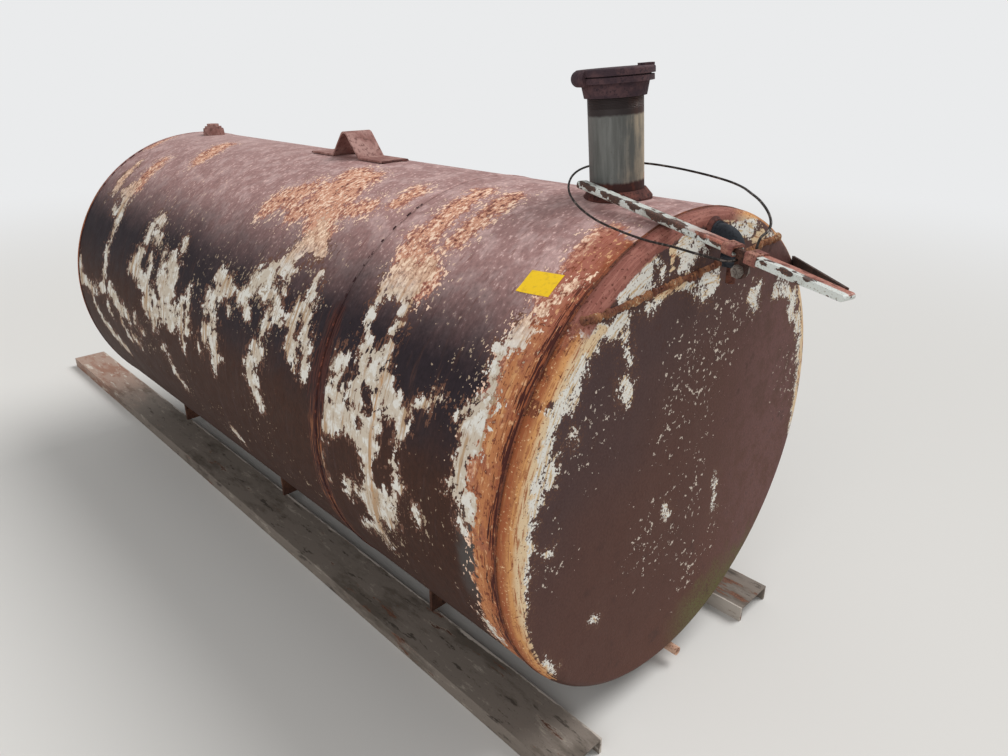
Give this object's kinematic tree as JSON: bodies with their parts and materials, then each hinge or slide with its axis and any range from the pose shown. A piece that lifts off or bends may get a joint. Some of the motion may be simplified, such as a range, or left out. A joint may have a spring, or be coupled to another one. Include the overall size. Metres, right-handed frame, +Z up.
{
  "type": "horizontal storage tank",
  "caption": "Horizontal steel tank with flat flanged ends on two channel skids, with a capped standpipe, a lifting lug, a pipe elbow and a clamped bar.",
  "frame": {"origin": "on the ground, in the middle of the overall length and of the tank's width", "axes": "+X along the tank towards the head with the elbow, +Y to the right of someone who faces that head from behind the tank, +Z up"},
  "size_m": [4, 1.224, 1.5797],
  "materials": {
    "shell_paint": "worn matt paint with rust",
    "head_paint": "worn matt paint with rust",
    "weld_rust": "rough rust",
    "galvanised_pipe": "weathered zinc",
    "cap_iron": "rust",
    "black_iron": "satin black",
    "bar_paint": "flaked white paint",
    "wire": "dark oxide",
    "skid_paint": "dirty worn paint",
    "fitting_rust": "rust"
  },
  "bodies": {
    "root": {"shell_rear_course": "shell_paint", "shell_front_course": "shell_paint", "rear_long_seam": "weld_rust", "front_long_seam": "weld_rust", "mid_seam_weld": "weld_rust", "front_seam_weld": "weld_rust", "rear_seam_weld": "weld_rust", "front_head_lower": "head_paint", "front_head_top": "head_paint", "head_chord_weld": "weld_rust", "rear_head": "shell_paint", "standpipe": "galvanised_pipe", "standpipe_weld": "weld_rust", "cap_collar": "cap_iron", "cap_ring": "cap_iron", "cap_lid": "cap_iron", "lifting_lug": "fitting_rust", "lug_welds": "weld_rust", "rear_coupling": "fitting_rust", "rear_plug": "fitting_rust", "elbow": "black_iron", "elbow_weld": "weld_rust", "elbow_bush": "black_iron", "drop_nipple": "fitting_rust", "left_arm": "bar_paint", "left_clamp": "fitting_rust", "hinge_link": "fitting_rust", "hinge_bolt": "fitting_rust", "right_clamp": "fitting_rust", "right_arm": "bar_paint", "arm_tip": "bar_paint", "arm_stay": "fitting_rust", "wire_loop": "wire", "saddle_front": "skid_paint", "saddle_mid": "skid_paint", "saddle_rear": "skid_paint", "skid_left": "skid_paint", "skid_right": "skid_paint", "drain_elbow": "fitting_rust", "drain_pipe": "fitting_rust"}
  },
  "joints": []
}
